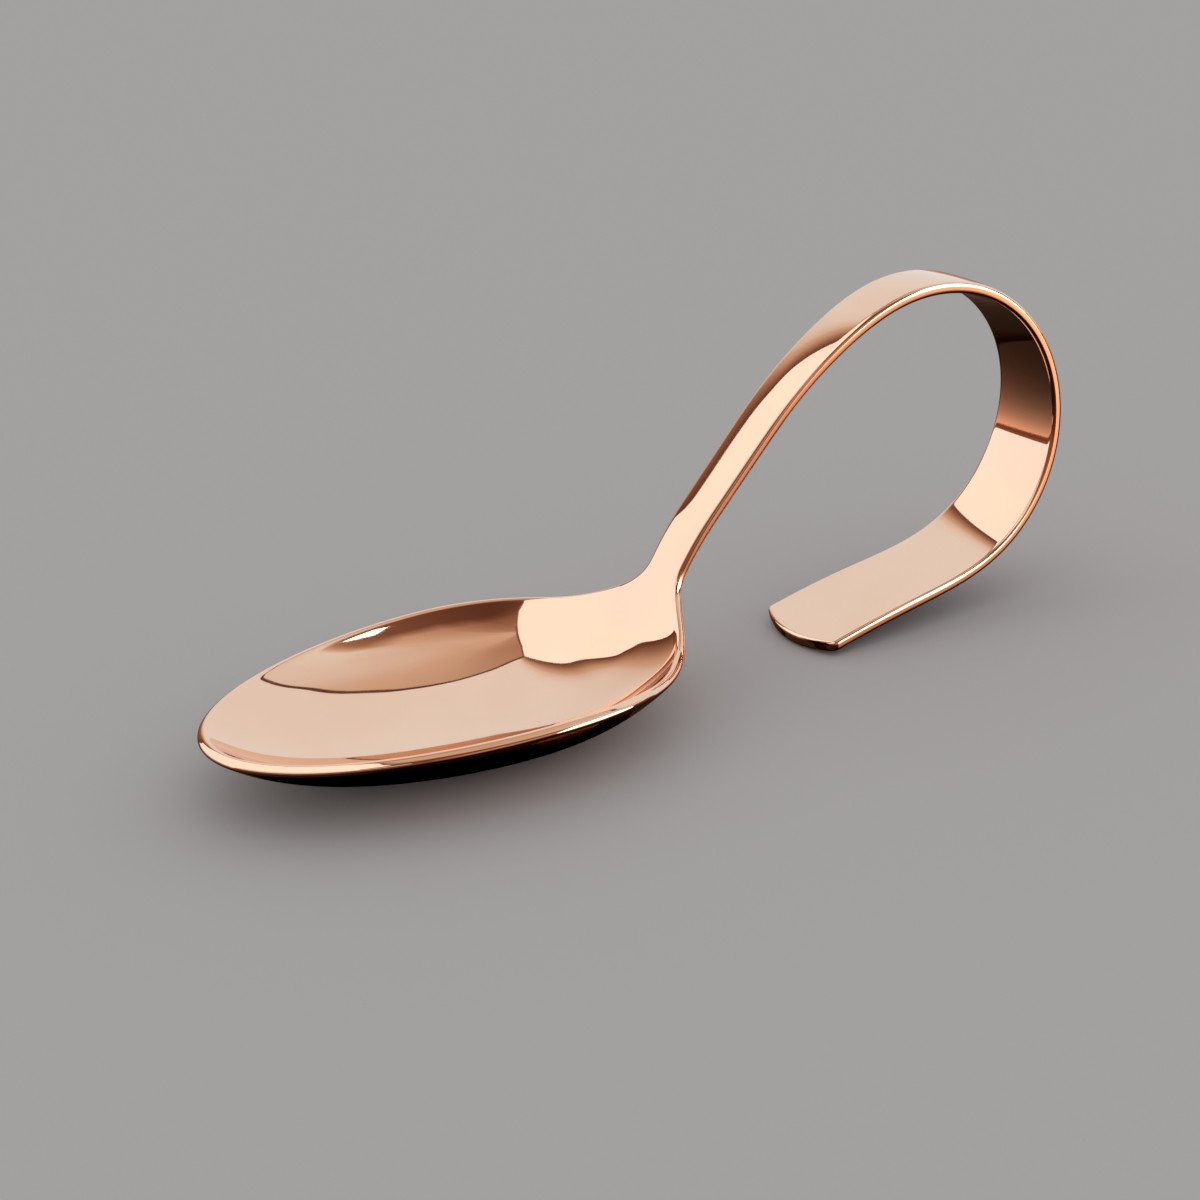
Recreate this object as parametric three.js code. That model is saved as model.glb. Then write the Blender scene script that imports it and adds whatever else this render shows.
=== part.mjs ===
// Gourmet spoon: one strip of steel, pressed to a bowl at one end and bent over to a loop that
// comes back down to the table, so that the spoon stands by itself.
// Millimetres, +Z up. The bowl's tip points along -X and the spoon is symmetric about y = 0.
// The strip is first a flat outline along its length s, from the bowl's tip to the foot's end.
// Then it is dished, and bent about the Y axis by a row of even arcs.
import * as THREE from 'three';
import { LoftGeometry } from 'three/addons/geometries/LoftGeometry.js';
import { mergeVertices } from 'three/addons/utils/BufferGeometryUtils.js';

// Flat outline of the bowl
const bowlWidth = 40;
const widestAt = 35.8; // from the tip to the widest place
const tipRoundness = 12.7; // how far the outline leaves the tip straight sideways
const tipSide = 15; // straight run of the side in front of the widest place
const shoulderLength = 29.9; // from the widest place to the narrowest one
const shoulderRun = 23.3; // straight run of the side behind the widest place
const neckFillet = 6.4; // run of the hollow between shoulder and neck

// Flat outline of the handle
const neckWidth = 6.6;
const stemTaper = 72; // run over which the stem hardly widens
const footFlare = 43.4; // run over which the foot keeps its full width
const endWidth = 14.9;
const endBulge = 2.1; // the foot's end is a shallow arc of this height

// Metal
const bowlThickness = 1.5;
const heelThickness = 1; // the metal is thinnest where the bowl runs into the neck
const handleThickness = 1.8;
const edgeRadius = 0.4;

// Dish of the bowl
const dishDepth = 8.4;
const dishFullness = 0.3; // 0 is a parabola, more gives steeper walls and a flatter floor
const rimLift = 0.77; // the rim stands this far above the line along which the strip is bent
const heelRise = 1.2; // how fast the floor rises behind the widest place
const seatDepth = 0.15; // the bowl's underside is flattened this much where it stands

// Bends along the strip: turns in degrees, upwards positive, and lengths along the strip
const rimArch = 2.6;
const neckBendSetback = 13.9; // the neck bend starts this far before the narrowest place
const neckBendLength = 11.5;
const neckTurn = 60.3;
const stemBendLength = 11.7;
const stemTurn = -12.4;
const stemStraight = 8.4;
const crownLength = 33.9;
const crownTurn = -28.7;
const crownLap = 15.8; // the back's bend starts this far before the crown's ends
const backLength = 82.8;
const backTurn = -192.4;
const footLap = 12.2; // the foot's bend starts this far before the back's ends
const footLength = 27.1;
const footTurn = 7.5;
const bendEase = 0.2; // share of each bend over which its curvature comes in and goes out
const crownSpan = 29; // length of the crown section, from where the back's bend starts

// Copper-coloured mirror finish
const copper = { color: 0xd8a07c, metalness: 1, roughness: 0.08 };

// Fineness of the rounded edges and of the bent line, and the reach over which a slope is taken
const cornerSteps = 2;
const spineStep = 0.1;
const slopeReach = 0.02;

// Places along the strip
const neckAt = widestAt + shoulderLength;
const neckBendAt = neckAt - neckBendSetback;
const stemBendAt = neckBendAt + neckBendLength;
const stemAt = stemBendAt + stemBendLength;
const crownAt = stemAt + stemStraight;
const backAt = crownAt + crownLength - crownLap;
const crownEnd = backAt + crownSpan;
const footAt = backAt + backLength - footLap;
const stripLength = footAt + footLength;
const heelAt = neckAt - neckFillet;

// The rim leans out, so the middle of the metal stays inside the outline. Its edges are rounded at the
// sides and run out sharp at the tip.
const leanOf = (slope) => slope / Math.hypot(1, slope);
const rimSlope = 4 * dishDepth * (1 + dishFullness) / bowlWidth;
const tipSlope = 3 * rimSlope * tipRoundness ** 2 / (bowlWidth * (widestAt - tipSide));
const rimLean = leanOf(rimSlope);
const rimRounding = edgeRadius * (1 + rimLean - Math.hypot(1, rimLean));
const rimInset = bowlThickness / 2 * rimLean - rimRounding;
const tipInset = bowlThickness / 2 * leanOf(tipSlope);

const { clamp, degToRad, lerp, smoothstep } = THREE.MathUtils;
const bends = [
  { start: 0, length: neckBendAt, turn: -rimArch },
  { start: neckBendAt, length: neckBendLength, turn: neckTurn },
  { start: stemBendAt, length: stemBendLength, turn: stemTurn },
  { start: crownAt, length: crownLength, turn: crownTurn },
  { start: backAt, length: backLength, turn: backTurn },
  { start: footAt, length: footLength, turn: footTurn },
];

// Share of a bend's turn that is done at part u of its length
function bendShare(u) {
  const rate = 1 / (1 - bendEase);
  const part = clamp(u, 0, 1);
  if (part < bendEase) return rate * part ** 2 / (2 * bendEase);
  if (part > 1 - bendEase) return 1 - rate * (1 - part) ** 2 / (2 * bendEase);
  return rate * (part - bendEase / 2);
}

function headingAt(s, tilt) {
  const turned = bends.map((bend) => bend.turn * bendShare((s - bend.start) / bend.length));
  return degToRad(tilt + turned.reduce((sum, turn) => sum + turn, 0));
}

// The strip's middle line in the XZ plane, for a given tilt of the rim at the tip
function makeSpine(tilt) {
  const count = Math.ceil(stripLength / spineStep);
  const step = stripLength / count;
  const points = [new THREE.Vector2(0, 0)];
  for (let i = 0; i < count; i += 1) {
    const heading = headingAt((i + 0.5) * step, tilt);
    const last = points[i];
    points.push(new THREE.Vector2(last.x + step * Math.cos(heading), last.y + step * Math.sin(heading)));
  }
  return (s) => {
    const place = clamp(s / step, 0, count);
    const index = Math.min(Math.floor(place), count - 1);
    const point = points[index].clone().lerp(points[index + 1], place - index);
    const heading = headingAt(s, tilt);
    return { x: point.x, z: point.y, upX: -Math.sin(heading), upZ: Math.cos(heading) };
  };
}

// Half the width of the metal's middle: three curves whose x is the length s and whose y is the half width
const curve = (...points) => new THREE.CubicBezierCurve(...points.map(([x, y]) => new THREE.Vector2(x, y)));
const halfBowl = bowlWidth / 2 - rimInset;
const halfNeck = neckWidth / 2;
const halfEnd = endWidth / 2;
const tipCurve = curve(
  [tipInset, 0],
  [tipInset, tipRoundness],
  [widestAt - tipSide, halfBowl],
  [widestAt, halfBowl],
);
const shoulderCurve = curve(
  [widestAt, halfBowl],
  [widestAt + shoulderRun, halfBowl],
  [neckAt - neckFillet, halfNeck],
  [neckAt, halfNeck],
);
const handleCurve = curve(
  [neckAt, halfNeck],
  [neckAt + stemTaper, halfNeck],
  [stripLength - footFlare, halfEnd],
  [stripLength, halfEnd],
);

function halfWidthAt(s) {
  const side = [tipCurve, shoulderCurve, handleCurve].find((part) => s <= part.v3.x) ?? handleCurve;
  let low = 0;
  let high = 1;
  for (let i = 0; i < 40; i += 1) {
    const middle = (low + high) / 2;
    if (side.getPoint(middle).x < s) low = middle;
    else high = middle;
  }
  return side.getPoint(high).y;
}

function thicknessAt(s) {
  if (s < heelAt) return lerp(bowlThickness, heelThickness, smoothstep(s, widestAt, heelAt));
  return lerp(heelThickness, handleThickness, smoothstep(s, heelAt, stemAt));
}

// Depth of the dish below the rim: it grows with the distance in from the outline
function dishAt(s, y, halfWidth) {
  if (s >= neckAt) return 0;
  const inside = (halfWidth ** 2 - y ** 2) / halfBowl ** 2;
  const heel = s > widestAt ? (halfWidth / halfBowl) ** heelRise : 1;
  return dishDepth * heel * inside * (1 + dishFullness) / (1 + dishFullness * inside);
}

// Height of the metal's middle above the spine
function riseAt(s, y) {
  return rimLift * (1 - smoothstep(s, widestAt, neckAt)) - dishAt(s, y, halfWidthAt(s));
}

// Direction of the metal's thickness, as shares along the strip, across it and upwards.
// It follows the lean of the walls, and from the heel on it stays in the cross section.
function thicknessDirection(s, y) {
  const [before, after] = [Math.max(s - slopeReach, tipInset), s + slopeReach];
  const lean = 1 - smoothstep(s, widestAt, heelAt);
  const along = lean * (riseAt(after, y) - riseAt(before, y)) / (after - before);
  const across = (riseAt(s, y + slopeReach) - riseAt(s, y - slopeReach)) / (2 * slopeReach);
  return new THREE.Vector3(-along, -across, 1).normalize();
}

// The spoon stands on its bowl and on the lowest place of its handle, and its tilt follows from that
function lowest(spine, from, to) {
  let low = Infinity;
  for (let s = from; s <= to; s += spineStep) {
    const at = spine(s);
    const half = thicknessAt(s) / 2;
    const rise = riseAt(s, 0);
    low = Math.min(low, at.z + at.upZ * (rise - half), at.z + at.upZ * (rise + half));
  }
  return low;
}

function standingTilt() {
  const limit = 30;
  let low = -limit;
  let high = limit;
  for (let i = 0; i < 30; i += 1) {
    const middle = (low + high) / 2;
    const spine = makeSpine(middle);
    const lift = lowest(spine, neckAt, stripLength) - lowest(spine, tipInset, neckAt);
    if (lift < seatDepth) low = middle;
    else high = middle;
  }
  return (low + high) / 2;
}

const spine = makeSpine(standingTilt());
const floorLevel = lowest(spine, tipInset, neckAt) + seatDepth;

// Outline of the strip's cross section, as sideways and upward distances from its middle
function sectionOutline(halfWidth, thickness, faceSteps) {
  const radius = Math.min(edgeRadius, thickness / 2, halfWidth);
  const flat = halfWidth - radius;
  const rise = thickness / 2 - radius;
  const outline = [];
  const face = (side) => {
    for (let j = 0; j <= faceSteps; j += 1) {
      outline.push([side * flat * Math.cos(Math.PI * j / faceSteps), side * thickness / 2]);
    }
  };
  const corner = (y, z, from, first, last) => {
    for (let k = first; k <= last; k += 1) {
      const angle = from + Math.PI / 2 * k / cornerSteps;
      outline.push([y + radius * Math.cos(angle), z + radius * Math.sin(angle)]);
    }
  };
  face(1);
  corner(-flat, rise, Math.PI / 2, 1, cornerSteps);
  corner(-flat, -rise, Math.PI, 0, cornerSteps - 1);
  face(-1);
  corner(flat, -rise, Math.PI * 1.5, 1, cornerSteps);
  corner(flat, rise, 0, 0, cornerSteps - 1);
  return outline;
}

// One cross section on the bent strip. A flatness of 0 gives its middle line, which closes an end.
function sectionAt(s, faceSteps, flatness = 1) {
  const halfWidth = halfWidthAt(s);
  const bulge = endBulge * smoothstep(s, footAt, stripLength);
  return sectionOutline(halfWidth, thicknessAt(s), faceSteps).map(([y, offset]) => {
    const at = spine(s - (bulge ? bulge * (y / halfWidth) ** 2 : 0));
    const step = thicknessDirection(s, y).multiplyScalar(offset * flatness);
    const up = riseAt(s, y) + step.z;
    const x = at.x + at.upX * up + at.upZ * step.x;
    const z = at.z + at.upZ * up - at.upX * step.x - floorLevel;
    return new THREE.Vector3(x, y + step.y, Math.max(z, 0));
  });
}

// Merges the shared points and drops the triangles that closed up to a line
function closedGeometry(loft) {
  const geometry = new THREE.BufferGeometry().copy(loft);
  geometry.deleteAttribute('normal');
  geometry.deleteAttribute('uv');
  const merged = mergeVertices(geometry, 1e-4);
  const index = merged.getIndex().array;
  const kept = [];
  for (let i = 0; i < index.length; i += 3) {
    const [a, b, c] = index.slice(i, i + 3);
    if (a !== b && b !== c && c !== a) kept.push(a, b, c);
  }
  merged.setIndex(kept);
  merged.computeVertexNormals();
  return merged;
}

// The strip's sections, in order. Each ends where the next one begins, on the same cross section.
const evenly = (part) => part;
const closerAtStart = (part) => 1 - Math.cos(part * Math.PI / 2);
const sections = [
  { name: 'bowl', from: tipInset, to: heelAt, steps: 40, faceSteps: 15, spread: closerAtStart },
  { name: 'neck', from: heelAt, to: stemAt, steps: 14, faceSteps: 10, spread: evenly },
  { name: 'stem', from: stemAt, to: backAt, steps: 8, faceSteps: 2, spread: evenly },
  { name: 'crown', from: backAt, to: crownEnd, steps: 16, faceSteps: 2, spread: evenly },
  { name: 'back', from: crownEnd, to: footAt, steps: 22, faceSteps: 2, spread: evenly },
  { name: 'foot', from: footAt, to: stripLength, steps: 10, faceSteps: 10, spread: evenly },
];

const spoon = new THREE.Group();
for (const { name, from, to, steps, faceSteps, spread } of sections) {
  const rings = [];
  for (let i = 0; i <= steps; i += 1) {
    rings.push(sectionAt(from + (to - from) * spread(i / steps), faceSteps));
  }
  const isTip = from === tipInset;
  const isEnd = to === stripLength;
  if (isEnd) rings.push(sectionAt(to, faceSteps, 0));
  const geometry = new LoftGeometry(rings, { capStart: !isTip, capEnd: !isEnd });
  const mesh = new THREE.Mesh(closedGeometry(geometry), new THREE.MeshStandardMaterial(copper));
  mesh.name = name;
  spoon.add(mesh);
}

// The origin is on the table, under the middle of the spoon
const box = new THREE.Box3().setFromObject(spoon);
spoon.position.x = -(box.min.x + box.max.x) / 2;

export default spoon;
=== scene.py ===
# Gourmet spoon: one strip of copper-coloured steel, pressed to a bowl and bent over to a standing loop
import math

import bmesh
import bpy
from mathutils import Matrix, Vector


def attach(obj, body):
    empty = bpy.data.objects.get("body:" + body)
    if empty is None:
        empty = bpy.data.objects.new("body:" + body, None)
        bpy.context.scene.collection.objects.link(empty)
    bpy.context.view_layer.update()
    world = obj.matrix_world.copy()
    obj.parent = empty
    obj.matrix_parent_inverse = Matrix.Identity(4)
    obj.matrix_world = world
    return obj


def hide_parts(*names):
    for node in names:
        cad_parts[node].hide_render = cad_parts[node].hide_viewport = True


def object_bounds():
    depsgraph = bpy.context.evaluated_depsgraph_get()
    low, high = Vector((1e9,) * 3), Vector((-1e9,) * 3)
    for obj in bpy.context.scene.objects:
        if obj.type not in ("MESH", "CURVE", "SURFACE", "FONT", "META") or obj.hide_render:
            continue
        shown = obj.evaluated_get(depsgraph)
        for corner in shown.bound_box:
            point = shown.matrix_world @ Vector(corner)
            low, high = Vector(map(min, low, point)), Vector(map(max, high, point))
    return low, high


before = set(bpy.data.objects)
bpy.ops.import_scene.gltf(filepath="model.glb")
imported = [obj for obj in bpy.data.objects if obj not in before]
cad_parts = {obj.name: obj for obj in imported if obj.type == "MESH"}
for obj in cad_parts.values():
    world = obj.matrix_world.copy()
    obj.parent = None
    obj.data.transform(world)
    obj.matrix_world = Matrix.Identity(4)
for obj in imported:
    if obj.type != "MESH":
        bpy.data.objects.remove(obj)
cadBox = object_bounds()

mm = 0.001


# Camera, in the spoon's own frame
view = {
    "aim": (-7.64, 1.65, 12.57),  # mm
    "distance": 262.03,  # mm
    "azimuth": -29.776,  # degrees, 0 looks along +Y
    "elevation": 23.481,
    "roll": -2.587,
    "lens": 63.29,
    "sensor": 36.0,
    "nearest": 10.0,  # mm, nothing closer is drawn
}


def makeCamera():
    data = bpy.data.cameras.new("camera")
    data.lens = view["lens"]
    data.sensor_width = view["sensor"]
    data.clip_start = view["nearest"] * mm
    camera = bpy.data.objects.new("camera", data)
    bpy.context.scene.collection.objects.link(camera)
    turn = (
        Matrix.Rotation(math.radians(view["azimuth"]), 4, "Z")
        @ Matrix.Rotation(math.radians(90 - view["elevation"]), 4, "X")
    )
    away = turn @ Vector((0, 0, view["distance"] * mm))
    place = Matrix.Translation(Vector(view["aim"]) * mm + away)
    camera.matrix_world = place @ turn @ Matrix.Rotation(math.radians(view["roll"]), 4, "Z")
    bpy.context.scene.camera = camera
    print("camera placed")


# A finished bmesh becomes an object at the origin
def addMesh(bm, name):
    mesh = bpy.data.meshes.new(name)
    bm.to_mesh(mesh)
    bm.free()
    piece = bpy.data.objects.new(name, mesh)
    bpy.context.scene.collection.objects.link(piece)
    return piece


# Row and column of a vertex in a fresh grid of size 1
def gridPlace(vert, rows, columns):
    return round((vert.co.x + 1) / 2 * rows), round((vert.co.y + 1) / 2 * columns)


# The strip, in millimetres and degrees: s runs along it from the bowl's tip to the foot's end
spoon = {
    "bowlWidth": 40.0,
    "widestAt": 35.8,
    "tipRoundness": 12.7,  # reach of the outline's curve sideways at the tip
    "tipSide": 15.0,  # and back from the widest place
    "shoulderLength": 29.9,
    "shoulderRun": 23.3,  # reach of the curve from the widest place
    "neckFillet": 6.4,  # and back from the neck
    "neckWidth": 6.6,
    "stemTaper": 72.0,  # reach of the curve from the neck
    "footFlare": 43.4,  # and back from the end
    "endWidth": 14.9,
    "endBulge": 2.1,  # the end's corners lie this far back
    "bowlThickness": 1.5,  # at the rim
    "floorThickness": 1.0,  # in the bowl's middle
    "heelThickness": 1.25,
    "handleThickness": 1.8,
    "camber": 0.3,  # the handle is this much thinner at its edges
    "upperEdge": 0.5,  # radius of the edge on the bowl's inner side, and of the one under it
    "underEdge": 0.45,
    "edgeSegments": 3,
    "holdLoop": 0.12,  # distance of the loops that keep the sides flat
    "flatLimit": 0.2,  # below this cosine a face counts as the strip's side
    "margin": 0.75,  # the outermost row of faces is this wide, to take the rounding
    "dishDepth": 8.65,
    "dishFullness": 0.9,  # 0 is a parabola, more has steeper sides
    "heelRise": 1.2,
    "rimLift": 0.77,
    "seatDepth": 0.15,  # the underside is worn flat this much where it stands
    "boxClear": 0.04,  # the rim stays this far inside the frame's box
    "standTilt": 1.687,
    "rimArch": 2.6,
    "rimEase": 0.2,
    "neckBend": (50.6, 13.9, 60.3, 0.45),  # start, length, turn, and the share at each end that eases
    "stemBend": (63.3, 11.7, -12.4, 0.2),
    "crownBend": (83.4, 33.9, -28.7, 0.2),
    "backBend": (101.5, 82.8, -192.4, 0.2),
    "footBend": (172.1, 27.1, 7.5, 0.2),
    "stripLength": 199.2,
    "tipRows": 24,
    "stripRows": 170,
    "columns": 26,
    "crowding": 0.6,  # how much closer the columns stand at the edges
    "slopeReach": 0.02,
    "spineStep": 0.1,
    "searchSteps": 36,  # halvings that find a place on the outline
    "leastWidth": 1e-6,  # the tip ends in a point, so these two keep out a division by 0
    "leastShare": 1e-9,
}
spoon["neckAt"] = spoon["widestAt"] + spoon["shoulderLength"]
spoon["heelAt"] = spoon["neckAt"] - spoon["neckFillet"]
spoon["stemAt"] = spoon["stemBend"][0] + spoon["stemBend"][1]
spoon["bends"] = [
    (0.0, spoon["neckBend"][0], -spoon["rimArch"], spoon["rimEase"]),
    spoon["neckBend"],
    spoon["stemBend"],
    spoon["crownBend"],
    spoon["backBend"],
    spoon["footBend"],
]


# The rim leans out, so the middle of the metal stays inside the outline, less what the rounding takes off
def leanInset(slope):
    lean = math.atan(slope)
    rounding = spoon["underEdge"] * (math.sin(lean) + math.cos(lean) - 1)
    return spoon["bowlThickness"] / 2 * math.sin(lean) - rounding + spoon["boxClear"]


# The dish's slope where it meets the rim, at the widest place and at the tip
rimSlope = 4 * spoon["dishDepth"] * (1 + spoon["dishFullness"]) / spoon["bowlWidth"]
tipRun = spoon["bowlWidth"] * (spoon["widestAt"] - spoon["tipSide"])
tipSlope = 3 * rimSlope * spoon["tipRoundness"] ** 2 / tipRun
spoon["tipInset"] = leanInset(tipSlope)
spoon["halfBowl"] = spoon["bowlWidth"] / 2 - leanInset(rimSlope)


def smoothStep(value, low, high):
    part = min(max((value - low) / (high - low), 0.0), 1.0)
    return part * part * (3 - 2 * part)


# Share of a bend's turn that is done at a part of its length
def bendShare(part, ease):
    rate = 1 / (1 - ease)
    part = min(max(part, 0.0), 1.0)
    if part < ease:
        return rate * part ** 2 / (2 * ease)
    if part > 1 - ease:
        return 1 - rate * (1 - part) ** 2 / (2 * ease)
    return rate * (part - ease / 2)


def heading(s):
    turned = sum(
        turn * bendShare((s - start) / length, ease)
        for start, length, turn, ease in spoon["bends"]
    )
    return math.radians(spoon["standTilt"] + turned)


# The strip's middle line in the XZ plane, from the tip
def walkSpine():
    count = math.ceil(spoon["stripLength"] / spoon["spineStep"])
    step = spoon["stripLength"] / count
    x, z = 0.0, 0.0
    points = [(x, z)]
    for i in range(count):
        angle = heading((i + 0.5) * step)
        x += step * math.cos(angle)
        z += step * math.sin(angle)
        points.append((x, z))
    return points, step


spinePoints, spineStep = walkSpine()


def spineAt(s):
    place = s / spineStep
    index = min(max(int(place), 0), len(spinePoints) - 2)
    (x0, z0), (x1, z1) = spinePoints[index], spinePoints[index + 1]
    part = place - index
    return x0 + (x1 - x0) * part, z0 + (z1 - z0) * part


def bezier(points, t):
    a, b, c, d = points
    u = 1 - t
    return u ** 3 * a + 3 * u * u * t * b + 3 * u * t * t * c + t ** 3 * d


# Half the strip's width, from three curves over its length: the tip, the shoulder and the handle
def outlineCurves():
    tip, wide, neck, end = spoon["tipInset"], spoon["widestAt"], spoon["neckAt"], spoon["stripLength"]
    halfBowl, halfNeck, halfEnd = spoon["halfBowl"], spoon["neckWidth"] / 2, spoon["endWidth"] / 2
    return [
        ((tip, tip, wide - spoon["tipSide"], wide),
         (0, spoon["tipRoundness"], halfBowl, halfBowl)),
        ((wide, wide + spoon["shoulderRun"], neck - spoon["neckFillet"], neck),
         (halfBowl, halfBowl, halfNeck, halfNeck)),
        ((neck, neck + spoon["stemTaper"], end - spoon["footFlare"], end),
         (halfNeck, halfNeck, halfEnd, halfEnd)),
    ]


outline = outlineCurves()


def halfWidth(s):
    along, across = next((c for c in outline if s <= c[0][3]), outline[-1])
    low, high = 0.0, 1.0
    for i in range(spoon["searchSteps"]):
        middle = (low + high) / 2
        if bezier(along, middle) < s:
            low = middle
        else:
            high = middle
    return bezier(across, high)


# How far a place lies inside the rim: 0 at the edge, 1 in the bowl's middle
def insideShare(s, y):
    wide = halfWidth(s)
    return (wide * wide - y * y) / spoon["halfBowl"] ** 2


# 0 in the strip's middle and 1 at its sides, growing with the square
def sideShare(s, y):
    return (y / max(halfWidth(s), spoon["leastWidth"])) ** 2


def thickness(s, y):
    thinner = smoothStep(s, spoon["widestAt"], spoon["heelAt"])
    thicker = smoothStep(s, spoon["heelAt"], spoon["stemAt"])
    dished = spoon["floorThickness"] - spoon["bowlThickness"]
    bowl = spoon["bowlThickness"] + dished * insideShare(s, y)
    handle = spoon["handleThickness"] - spoon["camber"] * sideShare(s, y)
    heel = bowl + (spoon["heelThickness"] - bowl) * thinner
    return heel + (handle - spoon["heelThickness"]) * thicker


def dish(s, y):
    if s >= spoon["neckAt"]:
        return 0.0
    inside = insideShare(s, y)
    heel = (halfWidth(s) / spoon["halfBowl"]) ** spoon["heelRise"] if s > spoon["widestAt"] else 1.0
    full = spoon["dishFullness"]
    return spoon["dishDepth"] * heel * inside * (1 + full) / (1 + full * inside)


# A point of the sheet's middle, dished and bent
def sheetPoint(s, y):
    footAt = spoon["footBend"][0]
    back = spoon["endBulge"] * smoothStep(s, footAt, spoon["stripLength"]) * sideShare(s, y)
    x, z = spineAt(s - back)
    angle = heading(s - back)
    up = spoon["rimLift"] * (1 - smoothStep(s, spoon["widestAt"], spoon["neckAt"])) - dish(s, y)
    return Vector((x - math.sin(angle) * up, y, z + math.cos(angle) * up))


def sheetNormal(s, y):
    h = spoon["slopeReach"]
    low = max(s - h, spoon["tipInset"])
    high = min(s + h, spoon["stripLength"])
    lengthwise = sheetPoint(high, y) - sheetPoint(low, y)
    sideways = sheetPoint(s, y + h) - sheetPoint(s, y - h)
    return lengthwise.cross(sideways).normalized()


def crowded(share):
    turn = spoon["crowding"] * math.pi / 2
    return math.sin(share * turn) / math.sin(turn)


# Where a grid point lies on the blank's tip, which is a disc of squares round the widest place
def tipPlace(u, v, margin):
    x = u * math.sqrt(1 - v * v / 2)
    y = v * math.sqrt(1 - u * u / 2)
    s = spoon["widestAt"] + x * (spoon["widestAt"] - spoon["tipInset"])
    widthShare = math.sqrt(max(1 - x * x, spoon["leastShare"]))
    place = Vector((s - spoon["widestAt"], y / widthShare * halfWidth(s)))
    if place.length > 0:
        place *= 1 - margin * math.hypot(x, y) / place.length
    return spoon["widestAt"] + place.x, place.y


# Where a grid point lies on the whole blank: s along the strip and y across it
def blankPlace(row, column):
    columns, tipRows, margin = spoon["columns"], spoon["tipRows"], spoon["margin"]
    lastRow = tipRows + spoon["stripRows"]
    onSide = column in (0, columns)
    inner = min(max(2 * (column - 1) / (columns - 2) - 1, -1.0), 1.0)
    if row > tipRows:
        part = (row - tipRows) / (spoon["stripRows"] - 1)
        s = spoon["widestAt"] + part * (spoon["stripLength"] - margin - spoon["widestAt"])
        s = spoon["stripLength"] if row == lastRow else s
        return s, inner * halfWidth(s) if onSide else crowded(inner) * (halfWidth(s) - margin)
    if row == 0 or onSide:
        return tipPlace(row / tipRows - 1, crowded(2 * column / columns - 1), 0.0)
    return tipPlace((row - 1) / (tipRows - 1) - 1, crowded(inner), margin)


def roundEdges(bm, edges, radius):
    bmesh.ops.bevel(
        bm, geom=edges, offset=radius, offset_type="OFFSET", affect="EDGES",
        segments=spoon["edgeSegments"], profile=0.5, material=-1, clamp_overlap=False,
    )


def makeSpoon():
    bm = bmesh.new()
    rows, columns = spoon["tipRows"] + spoon["stripRows"], spoon["columns"]
    bmesh.ops.create_grid(bm, x_segments=rows, y_segments=columns, size=1)
    along = bm.verts.layers.float.new("along")
    across = bm.verts.layers.float.new("across")
    for vert in bm.verts:
        vert[along], vert[across] = blankPlace(*gridPlace(vert, rows, columns))
    print("blank cut:", len(bm.faces), "faces")

    # The blank gets its thickness, and each side is dished and bent
    under = list(bm.verts)
    raised = bmesh.ops.extrude_face_region(bm, geom=list(bm.faces), use_keep_orig=True)
    upper = [item for item in raised["geom"] if isinstance(item, bmesh.types.BMVert)]
    for verts, side in ((under, -0.5), (upper, 0.5)):
        for vert in verts:
            s, y = vert[along], vert[across]
            vert.co = sheetPoint(s, y) + sheetNormal(s, y) * thickness(s, y) * side
    bmesh.ops.recalc_face_normals(bm, faces=list(bm.faces))
    print("strip pressed and bent:", len(bm.faces), "faces")

    # Rounded edges all round
    upperSet, underSet = set(upper), set(under)
    upperEdges, underEdges = [], []
    for edge in bm.edges:
        corners = {v for f in edge.link_faces for v in f.verts}
        if corners & upperSet and corners & underSet:
            if all(v in upperSet for v in edge.verts):
                upperEdges.append(edge)
            if all(v in underSet for v in edge.verts):
                underEdges.append(edge)
    roundEdges(bm, upperEdges, spoon["upperEdge"])
    roundEdges(bm, underEdges, spoon["underEdge"])
    # Loops beside the rounding keep the strip's sides flat
    flat = []
    for face in bm.faces:
        s, y = (sum(v[layer] for v in face.verts) / len(face.verts) for layer in (along, across))
        if abs(face.normal.dot(sheetNormal(s, y))) < spoon["flatLimit"]:
            flat.append(face)
    bmesh.ops.inset_region(bm, faces=flat, thickness=spoon["holdLoop"], use_even_offset=True)
    print("edges rounded:", len(bm.faces), "faces, sides:", len(flat))

    # Real size, standing in the middle of the frame's box, with the seat worn flat
    bmesh.ops.scale(bm, vec=(mm, mm, mm), verts=list(bm.verts))
    low = min(v.co.z for v in bm.verts if v[along] < spoon["neckAt"]) + spoon["seatDepth"] * mm
    middle = (min(v.co.x for v in bm.verts) + max(v.co.x for v in bm.verts)) / 2
    shift = ((cadBox[0][0] + cadBox[1][0]) / 2 - middle, 0, cadBox[0][2] - low)
    bmesh.ops.translate(bm, vec=shift, verts=list(bm.verts))
    for vert in bm.verts:
        vert.co.z = max(vert.co.z, cadBox[0][2])
    piece = addMesh(bm, "spoon")
    piece.data.shade_smooth()
    smooth = piece.modifiers.new("smooth", "SUBSURF")
    smooth.levels = smooth.render_levels = 1
    return piece


def newMaterial(name):
    material = bpy.data.materials.new(name)
    material.use_nodes = True
    return material, material.node_tree.nodes, material.node_tree.links


def noiseNode(nodes, size, detail):
    noise = nodes.new("ShaderNodeTexNoise")
    noise.inputs["Scale"].default_value = 1 / size
    noise.inputs["Detail"].default_value = detail
    return noise


# A colour ramp with the given stops, each a position and a colour
def rampNode(nodes, stops):
    ramp = nodes.new("ShaderNodeValToRGB")
    elements = ramp.color_ramp.elements
    while len(elements) < len(stops):
        elements.new(1)
    for element, (position, colour) in zip(elements, stops):
        element.position = position
        element.color = (*colour, 1)
    return ramp


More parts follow.
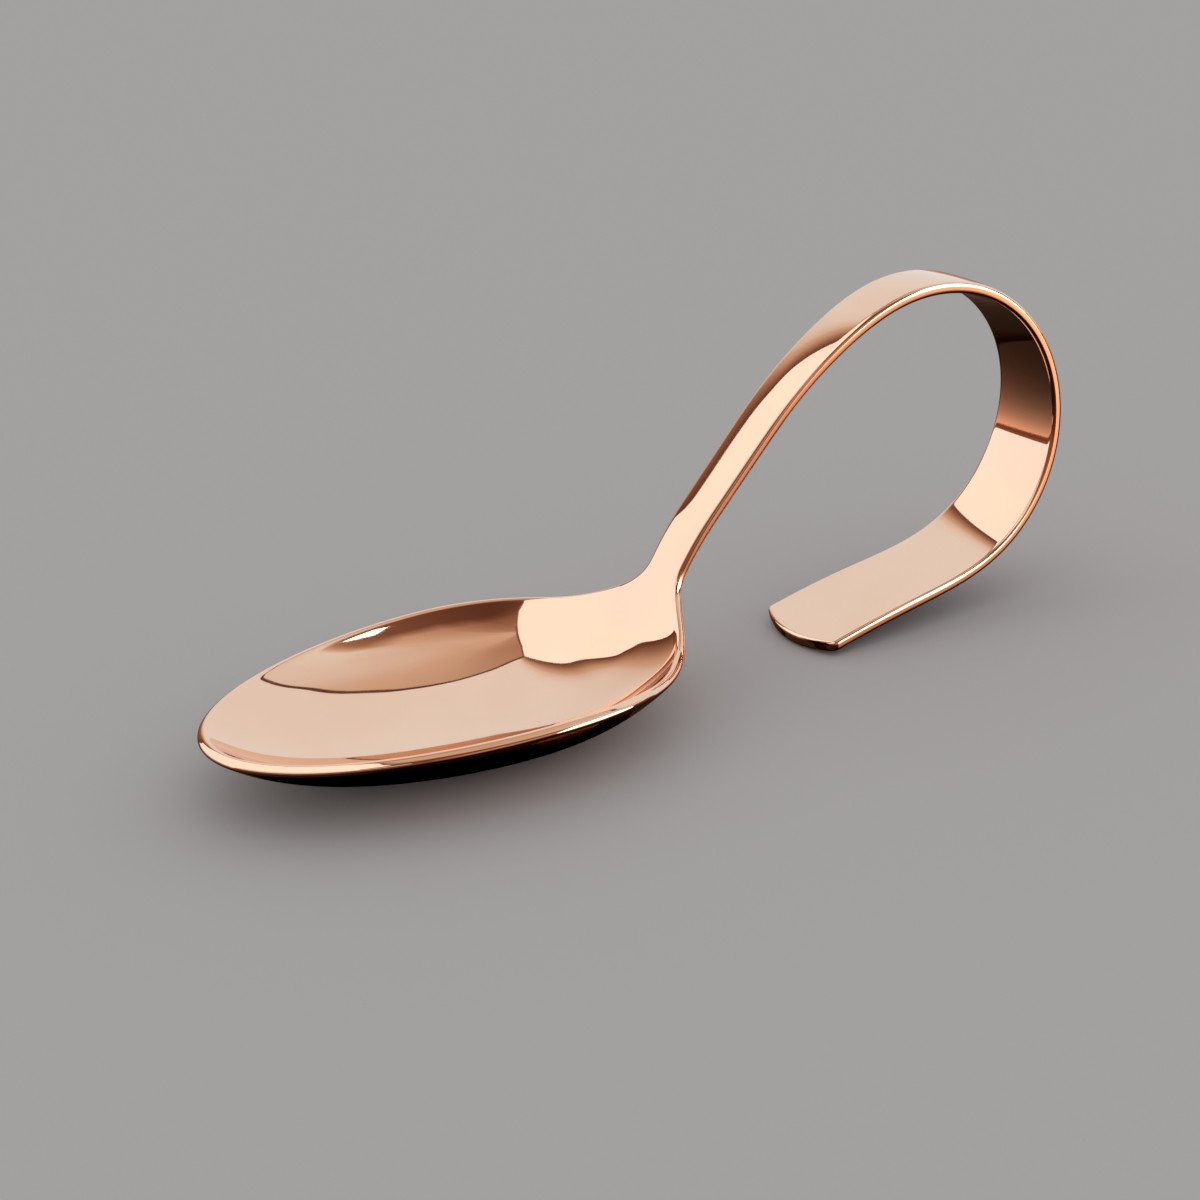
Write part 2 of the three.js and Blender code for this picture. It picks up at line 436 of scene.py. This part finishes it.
def mixShaders(nodes, links, share, first, second):
    mixed = nodes.new("ShaderNodeMixShader")
    links.new(share, mixed.inputs["Fac"])
    links.new(first, mixed.inputs[1])
    links.new(second, mixed.inputs[2])
    return mixed.outputs["Shader"]


# Mirror-polished copper-coloured coating: faint polishing waves, hairlines along the strip and a little haze
copper = {
    "colours": [(0.35, (0.92, 0.59, 0.43)), (0.65, (0.94, 0.62, 0.46))],  # places in the drift
    "driftSize": 14.0,  # mm, also the sizes below
    "driftDetail": 2,
    "hairWidth": 0.12,
    "hairLength": 6.0,
    "hairDetail": 3,
    "hazeSize": 11.0,
    "hazeDetail": 4,
    "hazeRange": (0.12, 0.4),  # from the best polish to the most haze
    "roughness": (0.02, 0.055),
    "waveSize": 8.0,
    "waveDetail": 1,
    "waveDepth": 0.0035,
}


def copperMirror():
    material, nodes, links = newMaterial("copperMirror")
    shader = nodes["Principled BSDF"]
    shader.inputs["Metallic"].default_value = 1.0
    place = nodes.new("ShaderNodeTexCoord").outputs["Object"]

    # The coating's colour drifts a little
    drift = noiseNode(nodes, copper["driftSize"] * mm, copper["driftDetail"])
    links.new(place, drift.inputs["Vector"])
    tint = rampNode(nodes, copper["colours"])
    links.new(drift.outputs["Fac"], tint.inputs["Fac"])
    links.new(tint.outputs["Color"], shader.inputs["Base Color"])

    # Polishing hairlines follow the strip, and haze lies over them
    strip = nodes.new("ShaderNodeCombineXYZ")
    for axis, layer, size in (("X", "along", copper["hairLength"]), ("Y", "across", copper["hairWidth"])):
        layerNode = nodes.new("ShaderNodeAttribute")
        layerNode.attribute_name = layer
        stretch = nodes.new("ShaderNodeMath")
        stretch.operation = "DIVIDE"
        stretch.inputs[1].default_value = size
        links.new(layerNode.outputs["Fac"], stretch.inputs[0])
        links.new(stretch.outputs["Value"], strip.inputs[axis])
    hairs = noiseNode(nodes, 1, copper["hairDetail"])
    links.new(strip.outputs["Vector"], hairs.inputs["Vector"])
    haze = noiseNode(nodes, copper["hazeSize"] * mm, copper["hazeDetail"])
    links.new(place, haze.inputs["Vector"])
    both = nodes.new("ShaderNodeMath")
    both.operation = "MULTIPLY"
    links.new(hairs.outputs["Fac"], both.inputs[0])
    links.new(haze.outputs["Fac"], both.inputs[1])
    polish = nodes.new("ShaderNodeMapRange")
    polish.inputs["From Min"].default_value, polish.inputs["From Max"].default_value = copper["hazeRange"]
    polish.inputs["To Min"].default_value, polish.inputs["To Max"].default_value = copper["roughness"]
    links.new(both.outputs["Value"], polish.inputs["Value"])
    links.new(polish.outputs["Result"], shader.inputs["Roughness"])

    # Slow waves left by the polishing wheel
    waves = noiseNode(nodes, copper["waveSize"] * mm, copper["waveDetail"])
    links.new(place, waves.inputs["Vector"])
    bump = nodes.new("ShaderNodeBump")
    bump.inputs["Distance"].default_value = copper["waveDepth"] * mm
    links.new(waves.outputs["Fac"], bump.inputs["Height"])
    links.new(bump.outputs["Normal"], shader.inputs["Normal"])
    print("copper polished")
    return material


# Floor: pale and matt to the eye, dark and glossy in the spoon
floor = {
    "reach": 8.0,  # m, from its middle to each side
    "colour": (0.38, 0.365, 0.36),
    "glossTint": (1.0, 0.56, 0.38),
    "glossRoughness": 0.06,
    "glossIor": 1.3,
}


def makeFloor():
    material, nodes, links = newMaterial("paleFloor")
    pale = nodes["Principled BSDF"]
    pale.inputs["Base Color"].default_value = (*floor["colour"], 1)
    pale.inputs["Roughness"].default_value = 1.0
    pale.inputs["Specular IOR Level"].default_value = 0.0
    black = nodes.new("ShaderNodeBsdfDiffuse")
    black.inputs["Color"].default_value = (0, 0, 0, 1)
    gloss = nodes.new("ShaderNodeBsdfGlossy")
    gloss.inputs["Color"].default_value = (*floor["glossTint"], 1)
    gloss.inputs["Roughness"].default_value = floor["glossRoughness"]
    fresnel = nodes.new("ShaderNodeFresnel")
    fresnel.inputs["IOR"].default_value = floor["glossIor"]
    dark = mixShaders(nodes, links, fresnel.outputs["Fac"], black.outputs["BSDF"], gloss.outputs["BSDF"])
    mirrored = nodes.new("ShaderNodeLightPath").outputs["Is Glossy Ray"]
    either = mixShaders(nodes, links, mirrored, pale.outputs["BSDF"], dark)
    links.new(either, nodes["Material Output"].inputs["Surface"])

    bm = bmesh.new()
    bmesh.ops.create_grid(bm, x_segments=1, y_segments=1, size=floor["reach"])
    sheet = addMesh(bm, "floor")
    sheet.data.materials.append(material)
    print("floor laid")


# Studio: what the mirror sees. A place in it is a direction from the bowl, in degrees: azimuth from straight
# behind, right positive, then height. Light 1 is white, less is darker and warmer
studio = {
    "from": (-25.0, 0.0, 8.0),  # mm
    "behind": 29.8,  # degrees from +Y towards +X
    "paleWorld": (0.97, 0.97, 0.985),  # lights the floor
    "warmWorld": (0.2, 0.1, 0.06),  # what the mirror sees between the panels
    "glow": [  # light and its colour
        (0.0, (0.0, 0.0, 0.0)),
        (0.16, (0.16, 0.07, 0.045)),
        (0.42, (0.42, 0.27, 0.185)),
        (0.65, (0.65, 0.53, 0.43)),
        (0.84, (0.84, 0.95, 1.0)),
        (1.0, (1.0, 1.0, 1.0)),
    ],
    "reach": {  # m, a nearer panel covers a farther one
        "softboxDim": 2.3,
        "lamp": 2.5,
        "softboxTrim": 2.6,
        "bar": 2.7,
        "softbox": 2.75,
        "shade": 2.85,
        "backWall": 3.05,
        "ceiling": 3.2,
        "frontFill": 3.3,
        "sideFill": 3.3,
    },
    "strength": {"lamp": 6.0, "softboxDim": 1.25, "softbox": 1.25},  # the others have 1
    "boxEdge": [  # right edge of the big softbox, with the width of the shade beside it
        (-46, 0, 44), (-51, 11, 46), (-53, 24, 44), (-47, 33, 30), (-40.5, 38, 22), (-35, 45, 18),
        (-31.5, 52, 17), (-28, 60, 15), (-21.3, 70.5, 9),
    ],
    "boxOver": [  # the edge goes on over the bowl
        (-28.6, 79.4), (-168.6, 86), (171.1, 76.3), (168.7, 66), (171, 61.5),
    ],
    "boxBack": [
        (-108, 3), (-108, 12), (-110, 24), (-114, 33), (-117, 38), (-121, 44),
        (-126, 48), (-131, 52), (-140, 55),
    ],
    "boxBackOver": [(-150, 56), (-160, 56), (-170, 54), (-176, 54), (-179, 54)],
    "boxLight": 1,
    "boxTrim": [  # outside of its trim
        (-27, 60), (-19.6, 70.5), (-25.3, 79.4), (178.9, 86.3), (168.6, 76.4), (166.8, 66), (169.5, 60.3),
    ],
    "trimStart": 2,  # the trim takes in this many of the edge's last points
    "trimLight": 0.2,
    "boxDim": [  # dimmer at the left, near the floor
        [(-60, 1.2, 1), (-60, 22, 1), (-60, 44, 1)],
        [(-68, 1.5, 0.9), (-68, 22, 0.9), (-68, 44, 1)],
        [(-84, 2, 0.84), (-84, 22, 0.86), (-84, 44, 1)],
        [(-108, 3, 1), (-108, 22, 1), (-108, 44, 1)],
    ],
    "shade": [  # share of its width, and light
        (0.0, 0.1), (0.16, 0.28), (0.34, 0.53), (0.52, 0.71), (0.72, 0.79), (1.0, 0.82),
    ],
    "bar": [  # dark bar over the white back wall
        (-20.5, 70.7), (-6, 69.5), (11, 64), (20, 59), (29, 57.5), (43, 56),
        (62, 49.5), (70.5, 40.5), (76, 31),
    ],
    "barWidth": 1.2,
    "barLight": 0.12,
    "wallStart": (-30, 71),
    "wallRows": (0, 0.5, 1),  # shares of its height
    "wallLight": 0.82,
    "ceiling": [  # from the bar and the lamp upwards, and on over the softbox
        [(-26, 67, 0.43), (-30, 76, 0.43), (-40, 82, 0.43), (-150, 85, 0.5)],
        [(11, 61, 0.52), (18, 73, 0.5), (26, 81, 0.46), (-150, 85, 0.5)],
        [(29, 55, 0.62), (38, 69, 0.58), (50, 79, 0.52), (-150, 85, 0.5)],
        [(57, 47, 0.7), (61, 63, 0.67), (70, 76, 0.6), (-150, 85, 0.55)],
        [(69, 36, 0.76), (76, 55, 0.74), (86, 73, 0.64), (-150, 85, 0.65)],
        [(78, 20, 0.78), (88, 46, 0.77), (95, 68, 0.66), (-150, 85, 0.65)],
        [(93, 20, 0.82), (96, 42, 0.8), (100, 60, 0.68), (-150, 85, 0.65)],
        [(100, 30, 0.25), (101, 42, 0.35), (103, 50, 0.68), (-150, 85, 0.65)],
        [(112, 34, 0.2), (111, 43, 0.2), (110, 48, 0.57), (-150, 85, 0.65)],
        [(121, 34, 0.17), (122, 47, 0.17), (119, 52, 0.48), (-150, 85, 0.65)],
        [(132, 36, 0.13), (133, 53, 0.13), (130, 60, 0.36), (-150, 85, 0.5)],
        [(146, 44, 0.1), (146, 59, 0.11), (147, 67, 0.25), (-150, 85, 0.45)],
        [(182, 46, 0.13), (182, 58, 0.14), (175, 68, 0.22), (-150, 85, 0.45)],
    ],
    "lamp": [
        [(93, 0, 1), (97, 24, 1), (102, 36.5, 1)],
        [(110, 0, 1), (109, 24, 1), (108, 39, 1)],
        [(128, 0, 1), (122, 24, 1), (114, 37.5, 1)],
    ],
    "frontFill": [
        [(163, 36, 0.84), (163, 52, 0.84), (163, 70, 0.84)],
        [(-165, 36, 0.84), (-165, 52, 0.84), (-165, 72, 0.84)],
        [(-140, 30, 0.8), (-135, 50, 0.84), (-135, 72, 0.84)],
        [(-104, 0, 0.6), (-104, 40, 0.84), (-104, 70, 0.84)],
    ],
    "sideFill": [
        [(126, 0, 0.5), (122, 18, 0.5), (116, 33, 0.3)],
        [(150, 0, 0.45), (150, 20, 0.45), (148, 40, 0.25)],
        [(160, 0, 0.2), (160, 21, 0.2), (160, 42, 0.15)],
    ],
    "lineSteps": 4,  # stretches of an edge between two of its points
}


# A smooth line through points of any number of values, which leaves each point along its neighbours' line
def smoothLine(points):
    line = []
    last = len(points) - 1
    for i in range(last):
        around = zip(*(points[min(max(k, 0), last)] for k in range(i - 1, i + 3)))
        knots = [(b, b + (c - a) / 6, c - (d - b) / 6, c) for a, b, c, d in around]
        for step in range(studio["lineSteps"]):
            line.append(tuple(bezier(knot, step / studio["lineSteps"]) for knot in knots))
    return line + [points[last]]


# A rail of azimuths and heights gets one light all along
def litRail(rail, light):
    return [(azimuth, height, light) for azimuth, height in rail]


# Every panel's rails of azimuth, height and light
def studioPanels():
    edge = smoothLine(studio["boxEdge"])
    front = [(a, h) for a, h, width in edge] + studio["boxOver"]
    back = smoothLine(studio["boxBack"]) + studio["boxBackOver"]
    corner = [(a, h) for a, h, width in studio["boxEdge"][-studio["trimStart"]:]] + studio["boxOver"]
    shade = [[(a + width * share, h, light) for a, h, width in edge] for share, light in studio["shade"]]
    bar = smoothLine(studio["bar"])
    half = studio["barWidth"] / 2
    barSides = [[(a + side, h + side) for a, h in bar] for side in (-half, half)]
    wall = [[(a, h * share) for share in studio["wallRows"]] for a, h in [studio["wallStart"]] + bar]
    return {
        "lamp": studio["lamp"],
        "softboxDim": studio["boxDim"],
        "softboxTrim": [litRail(rail, studio["trimLight"]) for rail in (corner, studio["boxTrim"])],
        "softbox": [litRail(rail, studio["boxLight"]) for rail in (front, back)],
        "bar": [litRail(rail, studio["barLight"]) for rail in barSides],
        "shade": shade,
        "backWall": [litRail(rail, studio["wallLight"]) for rail in wall],
        "ceiling": studio["ceiling"],
        "frontFill": studio["frontFill"],
        "sideFill": studio["sideFill"],
    }


def studioPoint(azimuth, height, reach):
    turn = math.radians(azimuth + studio["behind"])
    up = math.radians(height)
    away = Vector((math.cos(up) * math.sin(turn), math.cos(up) * math.cos(turn), math.sin(up)))
    return Vector(studio["from"]) * mm + away * reach


# A panel glows with the light of its mesh, warmer where it is darker
def glowMaterial(name):
    material, nodes, links = newMaterial(name)
    nodes.remove(nodes["Principled BSDF"])
    light = nodes.new("ShaderNodeAttribute")
    light.attribute_name = "light"
    ramp = rampNode(nodes, studio["glow"])
    glow = nodes.new("ShaderNodeEmission")
    glow.inputs["Strength"].default_value = studio["strength"].get(name, 1.0)
    links.new(light.outputs["Fac"], ramp.inputs["Fac"])
    links.new(ramp.outputs["Color"], glow.inputs["Color"])
    links.new(glow.outputs["Emission"], nodes["Material Output"].inputs["Surface"])
    return material


# A panel is a sheet between its rails, and only the mirror sees it
def makePanel(name, rails):
    bm = bmesh.new()
    across, along = len(rails) - 1, len(rails[0]) - 1
    bmesh.ops.create_grid(bm, x_segments=across, y_segments=along, size=1)
    lightLayer = bm.verts.layers.float.new("light")
    for vert in bm.verts:
        rail, point = gridPlace(vert, across, along)
        azimuth, height, light = rails[rail][point]
        vert.co = studioPoint(azimuth, height, studio["reach"][name])
        vert[lightLayer] = light
    sheet = addMesh(bm, name)
    sheet.data.materials.append(glowMaterial(name))
    sheet.visible_camera = False
    sheet.visible_diffuse = False
    sheet.visible_shadow = False


def makeStudio():
    panels = studioPanels()
    for name, rails in panels.items():
        makePanel(name, rails)
    world = bpy.data.worlds.new("studio")
    world.use_nodes = True
    nodes, links = world.node_tree.nodes, world.node_tree.links
    pale = nodes["Background"]
    pale.inputs["Color"].default_value = (*studio["paleWorld"], 1)
    warm = nodes.new("ShaderNodeBackground")
    warm.inputs["Color"].default_value = (*studio["warmWorld"], 1)
    rays = nodes.new("ShaderNodeLightPath").outputs
    mirrored = rays["Is Glossy Ray"]
    either = mixShaders(nodes, links, mirrored, pale.outputs["Background"], warm.outputs["Background"])
    # Beyond the floor's end the eye sees the floor's own shade
    backdrop = nodes.new("ShaderNodeBackground")
    shade = [colour * light for colour, light in zip(floor["colour"], studio["paleWorld"])]
    backdrop.inputs["Color"].default_value = (*shade, 1)
    seen = mixShaders(nodes, links, rays["Is Camera Ray"], either, backdrop.outputs["Background"])
    links.new(seen, nodes["World Output"].inputs["Surface"])
    bpy.context.scene.world = world
    print("studio lit:", len(panels), "panels")


makeCamera()
spoonPiece = makeSpoon()
spoonPiece.data.materials.append(copperMirror())
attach(spoonPiece, "root")
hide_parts("bowl", "neck", "stem", "crown", "back", "foot")
makeFloor()
makeStudio()
bpy.context.scene.view_settings.view_transform = "Standard"
